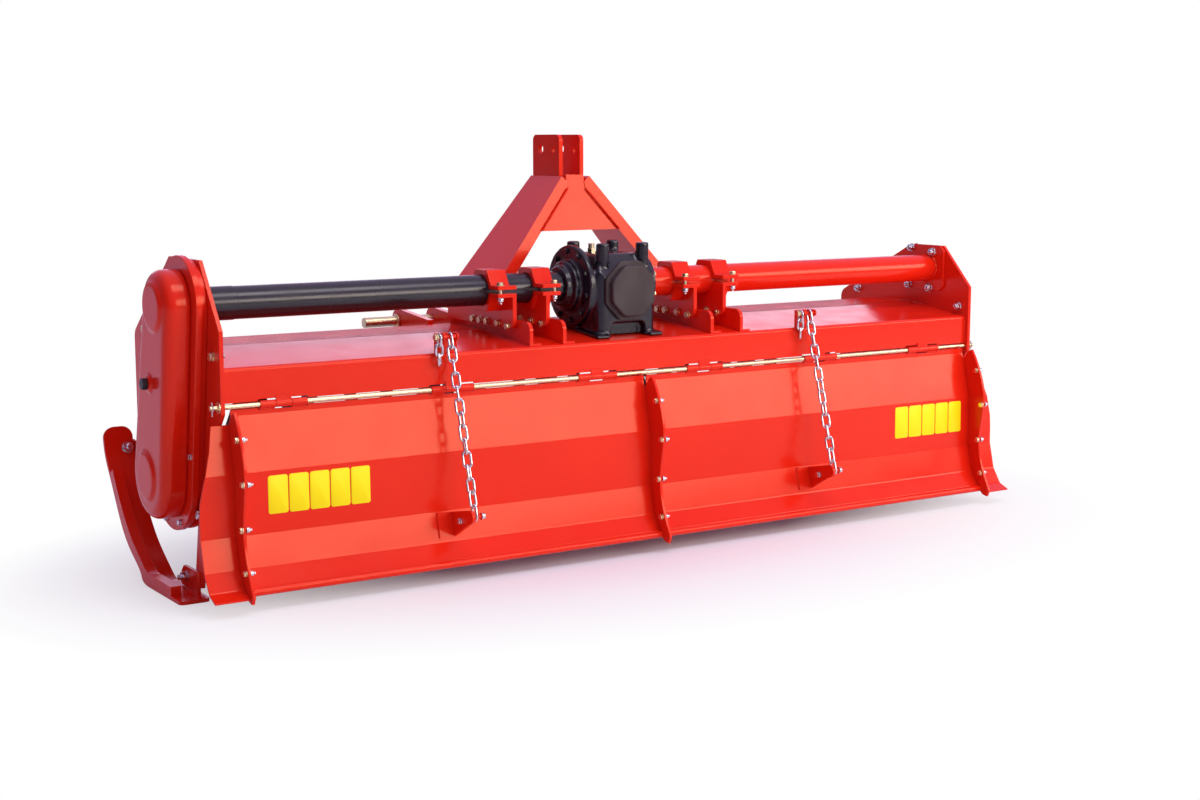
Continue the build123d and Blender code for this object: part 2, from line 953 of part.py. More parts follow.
# Rear board: panels between the ribs, with a rolled bead along the bottom
board_line = [at(*point) for point in board_profile]
rib_x = [board_mid_x + side * rib_half_span for side in (-1, 0, 1)]


def panel(x_from, x_to, name):
    with BuildPart() as piece:
        with BuildSketch(side_plane(x_from)) as face:
            folded_sheet(face, board_line, -board_sheet, board_bend_r)
            with Locations(at(*bead_centre)):
                Circle(bead_r)
        extrude(amount=x_to - x_from)
        for x in hinge_x:
            if x_from < x < x_to:
                hinge_notch(x)
    save(piece, name)


panel(rib_x[0] + rib_t / 2, rib_x[1] - rib_t / 2, "board_panel_left")
panel(rib_x[1] + rib_t / 2, rib_x[2] - rib_t / 2, "board_panel_right")


def wing(x, side, name):
    """The board's end piece beyond an outer rib, narrower at its top."""
    wing_line = [at(*point) for point in board_profile[1:]] + [at(*lip)]
    outline = [
        (0, wing_edge[0][1]),
        *wing_edge,
        (wing_w, rib_tip[1]),
        (0, rib_tip[1]),
    ]
    with BuildPart() as piece:
        with BuildSketch(side_plane(x)) as face:
            folded_sheet(face, wing_line, -board_sheet, board_bend_r)
        extrude(amount=side * wing_w)
        with BuildSketch(back_plane(rod_y + board_sheet * 2)):
            Polygon(*[(x + side * w, rod_z + z) for w, z in outline], align=None)
        extrude(amount=-2 * lip[0], mode=Mode.INTERSECT)
    save(piece, name)


wing(rib_x[0] - rib_t / 2, -1, "board_wing_left")
wing(rib_x[2] + rib_t / 2, 1, "board_wing_right")

# Ribs, each an upright plate whose outer edge is an S curve
with BuildPart() as ribs:
    inner_line = right_side(board_profile, -board_sheet)
    for x in rib_x:
        with BuildSketch(side_plane(x - rib_t / 2)):
            with BuildLine():
                Spline(*[at(*point) for point in rib_outer])
                Line(at(*rib_outer[-1]), at(*rib_tip))
                Polyline(
                    at(*rib_tip),
                    at(*rib_toe),
                    *[at(*point) for point in inner_line[:1:-1] + rib_head],
                    at(*rib_outer[0]),
                )
            make_face()
        extrude(amount=rib_t)
save(ribs, "board_ribs")


def chain_bracket(x):
    """Angle on the board with the pin that the chain's last link hangs on."""
    facet = (board_profile[4], board_profile[5])
    high_seat, low_seat = [
        tuple(a + share * (b - a) for a, b in zip(*facet)) for share in bracket_shares
    ]
    with BuildSketch(side_plane(x - chain_pin_half)) as face:
        Polygon(
            at(*high_seat),
            at(eye_point[0], eye_point[1] + bracket_end_r),
            at(eye_point[0], eye_point[1] - bracket_end_r),
            at(*low_seat),
            align=None,
        )
        with Locations(at(*eye_point)):
            Circle(bracket_end_r)
    extrude(face.sketch, amount=bracket_t)
    with BuildSketch(side_plane(x - chain_pin_half)) as base:
        Polygon(
            at(*high_seat),
            *[at(*p) for p in right_side([high_seat, low_seat], bracket_base_t)],
            at(*low_seat),
            align=None,
        )
    extrude(base.sketch, amount=-bracket_base_w)
    with BuildSketch(side_plane(x - chain_pin_half)) as pin:
        with Locations(at(*eye_point)):
            Circle(chain_pin_r)
    extrude(pin.sketch, amount=2 * chain_pin_half)


with BuildPart() as brackets:
    for x in (-chain_x, chain_x):
        chain_bracket(x)
save(brackets, "chain_brackets")

# Chain hooks at the deck's rear edge
with BuildPart() as hooks:
    for x in (-chain_x, chain_x):
        with BuildSketch(side_plane(x - hook_w / 2)):
            Polygon(
                at(hook_depth, deck_height(hook_depth)),
                at(hook_depth, hook_top),
                at(hook_depth + hook_t, hook_top),
                at(hook_depth + hook_t, deck_height(hook_depth + hook_t)),
                align=None,
            )
        extrude(amount=hook_w)
        for cheek_x in (x - chain_pin_half - cheek_t, x + chain_pin_half):
            with BuildSketch(side_plane(cheek_x)):
                Polygon(
                    at(hook_depth, cheek_low),
                    at(hook_point[0], hook_point[1] - cheek_r),
                    at(hook_point[0], hook_point[1] + cheek_r),
                    at(hook_depth, hook_top),
                    align=None,
                )
                with Locations(at(*hook_point)):
                    Circle(cheek_r)
            extrude(amount=cheek_t)
        with BuildSketch(side_plane(x - chain_pin_half)):
            with Locations(at(*hook_point)):
                Circle(chain_pin_r)
        extrude(amount=2 * chain_pin_half)
save(hooks, "chain_hooks")

# Chains: straight runs of links from the hook's pin to the bracket's pin, in two halves
chain_run = (eye_point[0] - hook_point[0], eye_point[1] - hook_point[1])
chain_len = hypot(*chain_run)
link_count = 2 * links_in_half
link_pitch = (chain_len + 2 * chain_pin_r + link_gap) / link_count
link_inside = link_pitch + link_gap
first_link = link_inside / 2 - chain_pin_r - link_gap
along = (0, chain_run[0] / chain_len, chain_run[1] / chain_len)


def half_chain(x, first, turns, name):
    """Flat-sided links, each turned about the chain's line. The lower half's first has cut edges."""
    with BuildPart() as piece:
        for step, turn in enumerate(turns):
            place = first_link + (first + step) * link_pitch
            centre = (
                x,
                rod_y + hook_point[0] + along[1] * place,
                rod_z + hook_point[1] + along[2] * place,
            )
            swing = radians(turn)
            face_dir = (cos(swing), sin(swing) * along[2], -sin(swing) * along[1])
            with BuildSketch(Plane(origin=centre, x_dir=along, z_dir=face_dir)) as face:
                Rectangle(link_inside + 2 * link_wire, link_inner_w + 2 * link_wire)
                chamfer(face.vertices(), link_wire)
                Rectangle(link_inside, link_inner_w, mode=Mode.SUBTRACT)
            extrude(amount=link_wire / 2, both=True)
            if first and step == 0:
                chamfer(piece.edges().filter_by(Axis.X), link_edge)
    save(piece, name)


upper_turns = [0, 105, 210, 315, 390, 465, 540]
lower_turns = [90 + 105 * step for step in range(links_in_half)]
for side, word in ((-1, "left"), (1, "right")):
    half_chain(side * chain_x, 0, upper_turns, f"chain_upper_{word}")
    half_chain(side * chain_x, links_in_half, lower_turns, f"chain_lower_{word}")


def bent_band(points, lean, near, far):
    """Face between two lines beside a bent line that ends in a straight run along the floor."""
    outer = right_side(points, near)
    inner = right_side(points, far)
    with BuildLine() as edge:
        Spline(*outer[:-1], tangents=((-lean, -1), (-1, 0)))
        Line(outer[-2], outer[-1])
        Line(outer[-1], inner[-1])
        Line(inner[-1], inner[-2])
        Spline(*inner[-2::-1], tangents=((1, 0), (lean, 1)))
        Line(inner[0], outer[0])
    make_face(edge.edges())


def skid(plate_face, side, name):
    """A skid beside a side plate, with its stiffening bar, front lug and heel lug."""
    whole = [skid_tip] + skid_line + [(skid_rear_depth, sole)]
    stiff = skid_line[1:] + [(rib_bar_rear_depth, sole)]
    with BuildPart() as piece:
        with BuildSketch(side_plane(plate_face + side * skid_in)) as band:
            bent_band([at(*point) for point in whole], skid_tip_lean, 0, skid_t)
        extrude(band.sketch, amount=side * skid_w)
        ends = [e for e in piece.edges() if abs(e.length - skid_t) < skid_t / 10]
        tip_z = rod_z + lug_face[1][1]
        fillet([e for e in ends if e.center().Z > tip_z], skid_tip_r)
        ends = [e for e in piece.edges() if abs(e.length - skid_t) < skid_t / 10]
        heel_y = rod_y + rib_bar_rear_depth
        fillet([e for e in ends if e.center().Y < heel_y], skid_heel_r)
        bar_x = plate_face + side * (skid_in + skid_w - rib_bar_w)
        with BuildSketch(side_plane(bar_x)) as bar:
            bent_band(
                [at(*point) for point in stiff],
                rib_bar_lean,
                skid_t - rib_bar_sunk,
                skid_t + rib_bar_h,
            )
        extrude(bar.sketch, amount=side * rib_bar_w)
        (low_depth, low), (high_depth, high) = lug_face
        lug_ends = (
            at(high_depth + lug_deep, high - lug_drop),
            at(low_depth + lug_deep, low - lug_drop),
        )
        with BuildSketch(side_plane(plate_face)) as lug:
            Polygon(at(low_depth, low), at(high_depth, high), *lug_ends, align=None)
        extrude(lug.sketch, amount=side * lug_w)
        with BuildSketch(side_plane(plate_face)) as web:
            Polygon(at(lug_root, low), at(lug_root, high), *lug_ends, align=None)
        extrude(web.sketch, amount=side * lug_web_t)
        with BuildSketch(side_plane(plate_face + side * skid_strap_t)) as heel:
            Polygon(*[at(*point) for point in heel_lug], align=None)
        extrude(heel.sketch, amount=side * heel_lug_t)
    save(piece, name)


skid(left_out, -1, "skid_left")
skid(right_out, 1, "skid_right")

with BuildPart() as skid_straps:
    for plate_face, side in ((left_out, -1), (right_out, 1)):
        with BuildSketch(side_plane(plate_face)):
            Polygon(
                at(strap_head_depth - strap_width / 2, strap_high),
                at(strap_head_depth + strap_width / 2, strap_high),
                at(strap_foot_depth + strap_width / 2, strap_low),
                at(strap_foot_depth - strap_width / 2, strap_low),
                align=None,
            )
        extrude(amount=side * skid_strap_t)
save(skid_straps, "skid_straps")

# Rotor bearings
with BuildPart() as right_bearing:
    with BuildSketch(side_plane(right_out)):
        with Locations((rotor_y, rotor_z)):
            Circle(bearing_flange_r)
    extrude(amount=bearing_flange_t)
    with BuildSketch(side_plane(right_out)):
        with Locations((rotor_y, rotor_z)):
            Circle(bearing_r)
    extrude(amount=bearing_len)
    with BuildSketch(side_plane(right_out)):
        with Locations((rotor_y, rotor_z)):
            Circle(journal_r + shaft_fit)
    extrude(amount=bearing_len - bearing_wall, mode=Mode.SUBTRACT)
save(right_bearing, "rotor_bearing_right")

with BuildPart() as left_hub:
    with BuildSketch(side_plane(left_in)):
        with Locations((rotor_y, rotor_z)):
            Circle(bearing_r)
            Circle(journal_r + shaft_fit, mode=Mode.SUBTRACT)
    extrude(amount=left_hub_len)
save(left_hub, "rotor_bearing_left")

# Rotor: tube with journals
with BuildPart() as rotor_shaft:
    shaft_steps = (
        (left_in + rotor_end_gap, right_in - rotor_end_gap, rotor_tube_r),
        (left_out + bearing_wall, right_out + bearing_len - 2 * bearing_wall, journal_r),
    )
    for x_from, x_to, radius in shaft_steps:
        with BuildSketch(side_plane(x_from)):
            with Locations((rotor_y, rotor_z)):
                Circle(radius)
        extrude(amount=x_to - x_from)
save(rotor_shaft, "rotor_shaft")


def polar(radius, angle):
    return (rotor_y + radius * cos(radians(angle)), rotor_z + radius * sin(radians(angle)))


def tines(x, side, start):
    """Tines on one face of a disc: flat shanks, each with a leaf bent to that side."""
    angles = [start + 360 / tines_a_side * step for step in range(tines_a_side)]
    with BuildSketch(side_plane(x)) as shanks:
        for angle in angles:
            Polygon(*[polar(r, angle + a) for r, a in tine_shank], align=None)
    extrude(shanks.sketch, amount=side * tine_t)
    with BuildSketch(side_plane(x)) as leaves:
        for angle in angles:
            Polygon(*[polar(r, angle + a) for r, a in tine_tip], align=None)
    extrude(leaves.sketch, amount=side * (tine_t + tine_leaf))


disc_first = left_in + disc_end_inset
disc_last = right_in - disc_end_inset
disc_pitch = (disc_last - disc_first) / (disc_count - 1)
with BuildPart() as tine_discs:
    for number in range(disc_count):
        x = disc_first + number * disc_pitch
        start = number * tine_stagger
        with BuildSketch(side_plane(x - disc_t / 2)):
            with Locations((rotor_y, rotor_z)):
                Circle(disc_r)
        extrude(amount=disc_t)
        if number < disc_count - 1:
            tines(x + disc_t / 2, 1, start)
        if number > 0:
            tines(x - disc_t / 2, -1, start + 180 / tines_a_side)
    with BuildSketch(side_plane(left_out)):
        with Locations((rotor_y, rotor_z)):
            Circle(rotor_tube_r)
    extrude(amount=right_out - left_out, mode=Mode.SUBTRACT)
save(tine_discs, "tine_discs")
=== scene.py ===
import json
import math

import bmesh
import bpy
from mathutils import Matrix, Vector

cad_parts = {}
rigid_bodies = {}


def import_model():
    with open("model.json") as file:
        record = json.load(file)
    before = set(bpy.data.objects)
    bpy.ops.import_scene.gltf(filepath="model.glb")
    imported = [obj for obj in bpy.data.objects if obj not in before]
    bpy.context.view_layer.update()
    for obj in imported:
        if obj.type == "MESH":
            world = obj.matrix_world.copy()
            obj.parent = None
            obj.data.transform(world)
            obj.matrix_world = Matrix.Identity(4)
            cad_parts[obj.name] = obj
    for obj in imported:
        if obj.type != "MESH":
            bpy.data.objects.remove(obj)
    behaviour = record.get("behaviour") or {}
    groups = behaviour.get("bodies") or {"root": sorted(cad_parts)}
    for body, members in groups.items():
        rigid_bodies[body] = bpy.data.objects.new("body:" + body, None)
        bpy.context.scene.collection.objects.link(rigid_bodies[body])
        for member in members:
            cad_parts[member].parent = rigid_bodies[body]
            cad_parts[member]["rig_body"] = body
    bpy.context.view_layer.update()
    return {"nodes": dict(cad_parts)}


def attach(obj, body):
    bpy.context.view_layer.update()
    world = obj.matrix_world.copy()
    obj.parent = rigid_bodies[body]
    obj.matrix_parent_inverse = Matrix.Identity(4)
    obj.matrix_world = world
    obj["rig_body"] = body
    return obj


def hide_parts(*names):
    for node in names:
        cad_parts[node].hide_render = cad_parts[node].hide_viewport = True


# A rotary tiller. The scene is in metres, in the frame of the CAD model: +X to the right seen from
# behind, +Y forward, +Z up. Sizes here are in millimetres and become metres in the helpers.
MM = 0.001
ROD_Y = -251
ROD_Z = 460

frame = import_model()

# The measures that this file shares with the model's source
HOOD_MID_X = 15
HALF_WIDTH = 1150
PLATE = 10
LEFT_IN = HOOD_MID_X - HALF_WIDTH
RIGHT_IN = HOOD_MID_X + HALF_WIDTH
LEFT_OUT = LEFT_IN - PLATE
RIGHT_OUT = RIGHT_IN + PLATE
CHEEK_T = 5
SEAM_LOW = (123.2, 271.7, 359)
SEAM_NECK = (28.3, 293.9, 470)
TUBE_DEPTH = 156
TUBE_HEIGHT = 221
ROTOR_DEPTH = 236
ROTOR_HEIGHT = -183
CHAIN_X = 560
HOOK_POINT = (-12, 128)
EYE_POINT = (-128, -295)
LINKS_IN_HALF = 7
LINK_WIRE = 6.6
LINK_INNER_W = 12
LINK_GAP = 0.4
CHAIN_PIN_R = 5
CHAIN_PIN_HALF = 16
RIB_X = (-1121.5, 21, 1163.5)
RIB_T = 8
BOARD_PROFILE = [
    (0, -7.5),
    (0, -21),
    (-14, -84),
    (-30, -150),
    (-32, -292),
    (-50, -366),
    (-78, -408),
]
CLAMP_X = (-330, -232, 232, 330)
STRAP_X = (-351, -220, 220, 351)


def at(x, depth, height):
    """A point in metres from x and the side view's depth and height above the hinge rod."""
    return Vector((x * MM, (ROD_Y + depth) * MM, (ROD_Z + height) * MM))


# Materials
def new_material(name):
    """A node material, its tree and its shader."""
    material = bpy.data.materials.new(name)
    material.use_nodes = True
    shader = material.node_tree.nodes["Principled BSDF"]
    return material, material.node_tree, shader


def noise_node(tree, scale, detail, rough, vector):
    """A noise texture that reads the given place."""
    node = tree.nodes.new("ShaderNodeTexNoise")
    node.inputs["Scale"].default_value = scale
    node.inputs["Detail"].default_value = detail
    node.inputs["Roughness"].default_value = rough
    tree.links.new(vector, node.inputs["Vector"])
    return node


def ramp(tree, source, low, high, first, second):
    """A value that goes from first to second while the source goes from low to high."""
    node = tree.nodes.new("ShaderNodeMapRange")
    node.inputs["From Min"].default_value = low
    node.inputs["From Max"].default_value = high
    node.inputs["To Min"].default_value = first
    node.inputs["To Max"].default_value = second
    tree.links.new(source, node.inputs["Value"])
    return node.outputs["Result"]


def mix_colors(tree, factor, first, second):
    """A color between two others, by a factor."""
    node = tree.nodes.new("ShaderNodeMix")
    node.data_type = "RGBA"
    node.inputs["A"].default_value = (*first, 1)
    node.inputs["B"].default_value = (*second, 1)
    tree.links.new(factor, node.inputs["Factor"])
    return node.outputs["Result"]


def position(tree):
    """The place of the shaded point."""
    return tree.nodes.new("ShaderNodeNewGeometry").outputs["Position"]


def bump(tree, shader, height, strength, distance):
    """Lets a height texture tilt the surface."""
    node = tree.nodes.new("ShaderNodeBump")
    node.inputs["Strength"].default_value = strength
    node.inputs["Distance"].default_value = distance
    tree.links.new(height, node.inputs["Height"])
    tree.links.new(node.outputs["Normal"], shader.inputs["Normal"])


def paint(name, color, shade, roughness, coat, peel=0.12, tinted=(1, 1, 1)):
    """Sprayed enamel: a slow change of colour, an uneven gloss and a fine orange peel."""
    material, tree, shader = new_material(name)
    where = position(tree)
    cloud = noise_node(tree, 2.4, 2, 0.4, where)
    tint = ramp(tree, cloud.outputs["Fac"], 0.3, 0.7, 0, 1)
    tree.links.new(mix_colors(tree, tint, color, shade), shader.inputs["Base Color"])
    mottle = noise_node(tree, 14, 2, 0.4, where)
    gloss = ramp(tree, mottle.outputs["Fac"], 0.25, 0.75, roughness * 0.75, roughness * 1.3)
    tree.links.new(gloss, shader.inputs["Roughness"])
    shader.inputs["Coat Weight"].default_value = coat
    shader.inputs["Coat Roughness"].default_value = 0.09
    shader.inputs["Coat IOR"].default_value = 1.5
    shader.inputs["Specular Tint"].default_value = (*tinted, 1)
    grain = noise_node(tree, 150, 2, 0.4, where)
    bump(tree, shader, grain.outputs["Fac"], peel, 0.0004)
    return material


def metal(name, color, shade, roughness, scale=60, metallic=1.0):
    """Plated or bare metal with a fine mottle in colour and gloss."""
    material, tree, shader = new_material(name)
    where = position(tree)
    spots = noise_node(tree, scale, 6, 0.7, where)
    tint = ramp(tree, spots.outputs["Fac"], 0.35, 0.65, 0, 1)
    tree.links.new(mix_colors(tree, tint, color, shade), shader.inputs["Base Color"])
    gloss = ramp(tree, spots.outputs["Fac"], 0.3, 0.7, roughness * 0.7, roughness * 1.4)
    tree.links.new(gloss, shader.inputs["Roughness"])
    shader.inputs["Metallic"].default_value = metallic
    grain = noise_node(tree, 900, 2, 0.5, where)
    bump(tree, shader, grain.outputs["Fac"], 0.15, 0.0002)
    return material


RED = paint("red_enamel", (0.8, 0.019, 0.005), (0.73, 0.015, 0.004), 0.2, 0.1, 0.06, (1, 0.5, 0.3))
BLACK = paint("black_enamel", (0.005, 0.005, 0.009), (0.009, 0.008, 0.012), 0.27, 0.2, 0.08)
COVER_BLACK = paint("cover_black", (0.03, 0.019, 0.018), (0.042, 0.027, 0.026), 0.6, 0.0, 0.3)
TINE = paint("tine_black", (0.02, 0.02, 0.021), (0.035, 0.034, 0.033), 0.5, 0.15, 0.3)
ZINC = metal("bright_zinc", (0.78, 0.79, 0.8), (0.6, 0.61, 0.63), 0.2)
YELLOW_ZINC = metal("yellow_zinc", (0.85, 0.72, 0.36), (0.7, 0.6, 0.42), 0.26)
STEEL = metal("machined_steel", (0.5, 0.5, 0.51), (0.38, 0.38, 0.39), 0.28)
PLASTIC = paint("black_plastic", (0.012, 0.012, 0.014), (0.02, 0.02, 0.022), 0.45, 0.0, 0.2)
YELLOW = paint("yellow_film", (0.93, 0.83, 0.006), (0.9, 0.8, 0.006), 0.38, 0.0, 0.03, (1, 0.9, 0.3))


# Mesh helpers
def piece(name, mesh_data, material, body, smooth_deg=35):
    """Makes a shown piece from a bmesh and lets it ride on a CAD body."""
    bmesh.ops.recalc_face_normals(mesh_data, faces=mesh_data.faces)
    mesh = bpy.data.meshes.new(name)
    mesh_data.to_mesh(mesh)
    mesh_data.free()
    mesh.materials.append(material)
    mesh.set_sharp_from_angle(angle=math.radians(smooth_deg))
    for polygon in mesh.polygons:
        polygon.use_smooth = True
    obj = bpy.data.objects.new(name, mesh)
    bpy.context.scene.collection.objects.link(obj)
    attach(obj, body)
    return obj


def body_of(node):
    """The name of the body that a CAD node belongs to."""
    return frame["nodes"][node]["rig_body"]


def copied(nodes):
    """One bmesh with the solids of some CAD nodes, with flat faces joined."""
    joined = bmesh.new()
    for node in nodes:
        joined.from_mesh(frame["nodes"][node].data)
    bmesh.ops.remove_doubles(joined, verts=joined.verts, dist=0.01 * MM)
    bmesh.ops.dissolve_limit(
        joined,
        angle_limit=math.radians(0.8),
        verts=joined.verts,
        edges=joined.edges,
    )
    return joined


def dress(node, material, round_mm=1.2, segments=2):
    """A copy of a CAD node with softly rounded edges, which stands for it."""
    obj = piece("skin_" + node, copied([node]), material, body_of(node), 30)
    if round_mm:
        edge = obj.modifiers.new("edge", "BEVEL")
        edge.width = round_mm * MM
        edge.segments = segments
        edge.limit_method = "ANGLE"
        edge.angle_limit = math.radians(32)
        edge.use_clamp_overlap = True
        edge.harden_normals = False
        obj.modifiers.new("normals", "WEIGHTED_NORMAL").keep_sharp = False
    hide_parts(node)
    return obj


def add_ring_loft(target, rings, closed=False, cap=True):
    """Joins rings of points into a skin. Each ring has the same number of points."""
    made = [[target.verts.new(point) for point in ring] for ring in rings]
    pairs = list(zip(made, made[1:])) + ([(made[-1], made[0])] if closed else [])
    for low, high in pairs:
        for i in range(len(low)):
            j = (i + 1) % len(low)
            target.faces.new((low[i], low[j], high[j], high[i]))
    if cap and not closed:
        target.faces.new(made[0][::-1])
        target.faces.new(made[-1])


def side_axes(direction):
    """Two unit vectors across a direction."""
    direction = Vector(direction).normalized()
    across = direction.cross(Vector((0, 0, 1)))
    if across.length < 0.1:
        across = direction.cross(Vector((1, 0, 0)))
    across.normalize()
    return across, direction.cross(across).normalized()


def turned(target, origin, direction, outline, sides=20, turn=0.0):
    """A turned body: outline is a list of (distance along in mm, radius in mm)."""
    direction = Vector(direction).normalized()
    across, up = side_axes(direction)
    rings = []
    for along, radius in outline:
        ring = []
        for i in range(sides):
            angle = turn + 2 * math.pi * i / sides
            offset = across * math.cos(angle) + up * math.sin(angle)
            ring.append(origin + direction * along * MM + offset * radius * MM)
        rings.append(ring)
    add_ring_loft(target, rings)


def tube_along(target, points, radius, sides=10, closed=False, ripple=0.0):
    """A round tube through points in metres, with an optional change of thickness along it."""
    count = len(points)
    rings = []
    before = None
    for i, point in enumerate(points):
        ahead = points[(i + 1) % count] if closed or i < count - 1 else point
        behind = points[i - 1] if closed or i > 0 else point
        direction = (ahead - behind).normalized()
        if before is None:
            across, up = side_axes(direction)
        else:
            across = before - direction * before.dot(direction)
            across.normalize()
            up = direction.cross(across)
        before = across
        here = radius * MM * (1 + ripple * math.sin(2.4 * i) + 0.5 * ripple * math.sin(1.1 * i))
        ring = []
        for k in range(sides):
            angle = 2 * math.pi * k / sides
            ring.append(point + (across * math.cos(angle) + up * math.sin(angle)) * here)
        rings.append(ring)
    add_ring_loft(target, rings, closed)


# The small parts, gathered by body and kind
GROUPS = {}

# Fasteners in shares of the thread's diameter, and weld beads, in millimetres
WASHER_T = 2.0
HEAD_WIDTH = 1.6
HEAD_HEIGHT = 0.65
NUT_HEIGHT = 0.8
WASHER_SHARE = 1.02
HEX_SIDES = 24
THREAD_PITCH = 1.5
BEAD_SIDES = 7
BEAD_RIPPLE = 0.14
BEAD_STEP = 3.2
RING_BEAD_STEP = 3.4


def group(body, kind):
    """The mesh that all small parts of one kind on one body are gathered in."""
    return GROUPS.setdefault((body, kind), bmesh.new())


def hex_part(target, origin, direction, across_flats, height, turn):
    """A hexagon head or nut with turned chamfers at both ends."""
    radius = across_flats / math.sqrt(3)
    flat = across_flats / 2
    chamfer = 0.12 * height
    direction = Vector(direction).normalized()
    across, up = side_axes(direction)
    rings = []
    for along, round_share in ((0, 1), (chamfer, 0), (height - chamfer, 0), (height, 1)):
        ring = []
        for i in range(HEX_SIDES):
            angle = 2 * math.pi * i / HEX_SIDES
            sector = math.pi / 3
            local = (angle % sector) - sector / 2
            hexed = flat / math.cos(local)
            reach = min(hexed, flat) if round_share else min(hexed, radius * 0.985)
            offset = across * math.cos(angle + turn) + up * math.sin(angle + turn)
            ring.append(origin + direction * along * MM + offset * reach * MM)
        rings.append(ring)
    add_ring_loft(target, rings)


def thread(target, origin, direction, radius, length):
    """A short threaded end with rings for its thread."""
    outline = [(0, radius)]
    steps = max(2, int(length / THREAD_PITCH) - 1)
    for step in range(steps):
        outline.append((THREAD_PITCH * (step + 0.25), radius))
        outline.append((THREAD_PITCH * (step + 0.75), radius * 0.9))
    outline.append((length - 0.6, radius * 0.97))
    outline.append((length, radius * 0.82))
    turned(target, origin, direction, outline, 12)


def washer(target, origin, direction, radius, thickness=WASHER_T):
    """A flat washer with eased rims."""
    outline = [
        (0, radius - 0.3),
        (0.3, radius),
        (thickness - 0.4, radius),
        (thickness, radius - 0.4),
    ]
    turned(target, origin, direction, outline, 24)


def bolt_head(body, kind, origin, direction, size, turn):
    """A bolt head on its washer. size is the thread's diameter."""
    origin = Vector(origin)
    direction = Vector(direction).normalized()
    washer(group(body, kind), origin, direction, size * WASHER_SHARE)
    seat = origin + direction * WASHER_T * MM
    hex_part(group(body, kind), seat, direction, size * HEAD_WIDTH, size * HEAD_HEIGHT, turn)


def nut(body, kind, origin, direction, size, turn, stud):
    """A washer, a nut and the bolt's end that stands out of it."""
    origin = Vector(origin)
    direction = Vector(direction).normalized()
    target = group(body, kind)
    washer(target, origin, direction, size * WASHER_SHARE)
    seat = origin + direction * WASHER_T * MM
    hex_part(target, seat, direction, size * HEAD_WIDTH, size * NUT_HEIGHT, turn)
    if stud:
        top = seat + direction * size * NUT_HEIGHT * MM
        thread(target, top, direction, size / 2, stud)


def weld(body, start, end, radius, step=BEAD_STEP):
    """A weld bead between two points."""
    start, end = Vector(start), Vector(end)
    length = (end - start).length
    count = max(3, int(length / (step * MM)))
    points = [start.lerp(end, i / count) for i in range(count + 1)]
    tube_along(group(body, "weld"), points, radius, BEAD_SIDES, False, BEAD_RIPPLE)


def ring_weld(body, centre, axis, ring_r, radius):
    """A weld bead round a tube."""
    across, up = side_axes(axis)
    count = int(2 * math.pi * ring_r / RING_BEAD_STEP)
    points = []
    for i in range(count):
        angle = 2 * math.pi * i / count
        points.append(centre + (across * math.cos(angle) + up * math.sin(angle)) * ring_r * MM)
    tube_along(group(body, "weld"), points, radius, BEAD_SIDES, True, BEAD_RIPPLE)


# Carried-over solids
RED_NODES = {
    "hood": 1.2,
    "front_beam": 0,
    "side_plate_left": 1.5,
    "side_plate_right": 1.5,
    "axle_tube_right": 0.8,
    "tube_end_plate": 1.2,
    "gear_case_flange": 1.8,
    "clamp_straps": 1.4,
    "clamp_plates": 1.5,
    "deck_rails": 1.8,
    "mast_strut_left": 2.0,
    "mast_strut_right": 2.0,
    "mast_gusset": 1.5,
    "mast_ears": 1.8,
    "hitch_ears": 1.8,
    "band_knuckles": 1.0,
    "chain_hooks": 1.2,
    "skid_left": 1.5,
    "skid_right": 1.5,
    "skid_straps": 1.5,
    "rotor_bearing_right": 1.8,
    "rotor_bearing_left": 1.8,
    "rotor_shaft": 1.5,
    "board_panel_left": 0.8,
    "board_panel_right": 0.8,
    "board_wing_left": 0.8,
    "board_wing_right": 0.8,
    "board_ribs": 1.4,
    "board_knuckles": 0.8,
    "chain_brackets": 1.2,
}
for node, width in RED_NODES.items():
    dress(node, RED, width)

for node, material, slot, width in (
    ("axle_tube_left", BLACK, "black_paint", 0.8),
    ("axle_tube_collar", BLACK, "black_paint", 0.5),
    ("gearbox_front_cap", BLACK, "black_paint", 2.0),
    ("gearbox_rear_cover", COVER_BLACK, "black_paint", 2.5),
    ("breather", YELLOW_ZINC, "yellow_zinc", 1.0),
    ("link_pin_left", YELLOW_ZINC, "yellow_zinc", 1.5),
    ("link_pin_right", YELLOW_ZINC, "yellow_zinc", 1.5),
    ("hinge_rod", YELLOW_ZINC, "yellow_zinc", 0.8),
    ("input_shaft", STEEL, "bare_steel", 0.5),
    ("oil_plug", PLASTIC, "black_plastic", 1.5),
    ("tine_discs", TINE, "tine_paint", 1.0),
):
    dress(node, material, width)


# Cast and pressed forms
def melted(name, nodes, material, voxel_mm, rounds, body):
    """One skin over some CAD solids with their corners blended, as on a casting."""
    obj = piece(name, copied(nodes), material, body, 180)
    remesh = obj.modifiers.new("skin", "REMESH")
    remesh.mode = "VOXEL"
    remesh.voxel_size = voxel_mm * MM
    remesh.use_smooth_shade = True
    soften = obj.modifiers.new("soften", "SMOOTH")
    soften.factor = 0.5
    soften.iterations = rounds
    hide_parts(*nodes)
    return obj


CASTING = ["gearbox", "gearbox_left_flange"]
melted("gearbox_casting", CASTING, BLACK, 3.0, 11, "frame")
dress("gearbox_right_flange", BLACK, 3.0, 3)
melted("case_cover", ["gear_case_cover"], RED, 3.5, 8, "frame")


# Chains of round wire
def stadium(centre, along, across, half_length, end_r):
    """Points round a link: two straight sides and two half circles."""
    points = []
    arc_steps = 12
    for sign in (1, -1):
        middle = centre + along * sign * (half_length - end_r) * MM
        for i in range(arc_steps + 1):
            angle = math.pi * i / arc_steps - math.pi / 2
            spot = along * sign * math.cos(angle) + across * sign * math.sin(angle)
            points.append(middle + spot * end_r * MM)
    return points


